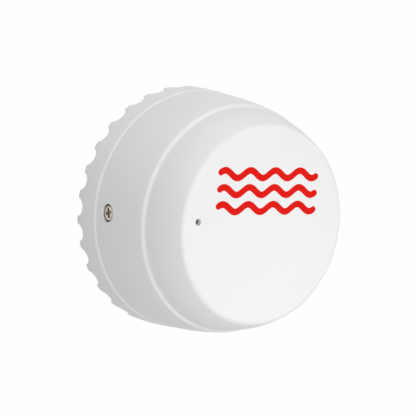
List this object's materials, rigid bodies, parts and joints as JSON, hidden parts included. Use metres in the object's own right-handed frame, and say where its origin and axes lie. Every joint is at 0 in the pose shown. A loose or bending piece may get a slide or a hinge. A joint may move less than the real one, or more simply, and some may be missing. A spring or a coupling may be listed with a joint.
{
  "type": "water leak sensor",
  "caption": "Round white water leak sensor: tiered bell housing with a scalloped foot, screwed base plug, status light, and water probes facing the floor.",
  "frame": {"origin": "bottom centre: on the housing's axis, in the plane of the skirt's teeth that stand on the floor", "axes": "+Z up along the housing's axis and out of the face; -X towards the side screw that lies under the status light; +Y is up on the face"},
  "size_m": [0.0598, 0.06, 0.0346],
  "materials": {
    "shell_plastic": "fine satin moulded white",
    "inner_plastic": "satin moulded white",
    "clear_plastic": "clear, polished",
    "seal_rubber": "matt black",
    "screw_nickel": "nickel plated, slightly warm",
    "probe_nickel": "nickel plated, polished",
    "strip_nickel": "tinned spring sheet",
    "cell_jacket": "plain shrink sleeve",
    "board_laminate": "solder mask",
    "chip_resin": "moulded black resin",
    "can_tin": "tinned sheet",
    "ceramic": "fired ceramic",
    "led_resin": "clear resin over phosphor"
  },
  "bodies": {
    "sensor_body": {"housing": "shell_plastic", "light_guide": "clear_plastic", "base_plug": "inner_plastic", "plug_seal": "seal_rubber", "water_probes": "probe_nickel", "probe_seals": "seal_rubber", "probe_nuts": "probe_nickel", "probe_strips": "strip_nickel", "battery_cell": "cell_jacket", "plus_contact": "strip_nickel", "minus_contact": "strip_nickel", "spring_fingers": "strip_nickel", "circuit_board": "board_laminate", "board_screws": "screw_nickel", "radio_board": "board_laminate", "radio_chip": "chip_resin", "radio_shield": "can_tin", "sense_chip": "chip_resin", "regulator_chip": "chip_resin", "reservoir_capacitor": "can_tin", "chip_capacitors": "ceramic", "chip_resistors": "chip_resin", "status_led": "led_resin", "button_base": "chip_resin", "button_dome": "can_tin", "button_frame": "can_tin"},
    "ring_left": {"screw_ring_left": "seal_rubber"},
    "screw_left": {"side_screw_left": "screw_nickel"},
    "ring_right": {"screw_ring_right": "seal_rubber"},
    "screw_right": {"side_screw_right": "screw_nickel"},
    "pairing_button": {"button_plunger": "chip_resin"}
  },
  "joints": [
    {"name": "screw_left_out", "type": "slide", "parent": "sensor_body", "child": "ring_left", "axis": [-1, 0, 0], "range_m": [0, 0.0063]},
    {"name": "screw_left_turn", "type": "hinge", "parent": "ring_left", "child": "screw_left", "pos_m": [-0.0292, 0, 0.0116], "axis": [-1, 0, 0], "range_deg": [0, 2520]},
    {"name": "screw_right_out", "type": "slide", "parent": "sensor_body", "child": "ring_right", "axis": [1, 0, 0], "range_m": [0, 0.0063]},
    {"name": "screw_right_turn", "type": "hinge", "parent": "ring_right", "child": "screw_right", "pos_m": [0.0292, 0, 0.0116], "axis": [1, 0, 0], "range_deg": [0, 2520]},
    {"name": "pairing_press", "type": "slide", "parent": "sensor_body", "child": "pairing_button", "axis": [0, 0, 1], "range_m": [0, 0.00025], "stiffness_N_per_m": 6000}
  ],
  "couplings": [
    {"joint": "screw_left_turn", "follows": "screw_left_out", "rad_per_m": 6981.3},
    {"joint": "screw_right_turn", "follows": "screw_right_out", "rad_per_m": 6981.3}
  ]
}
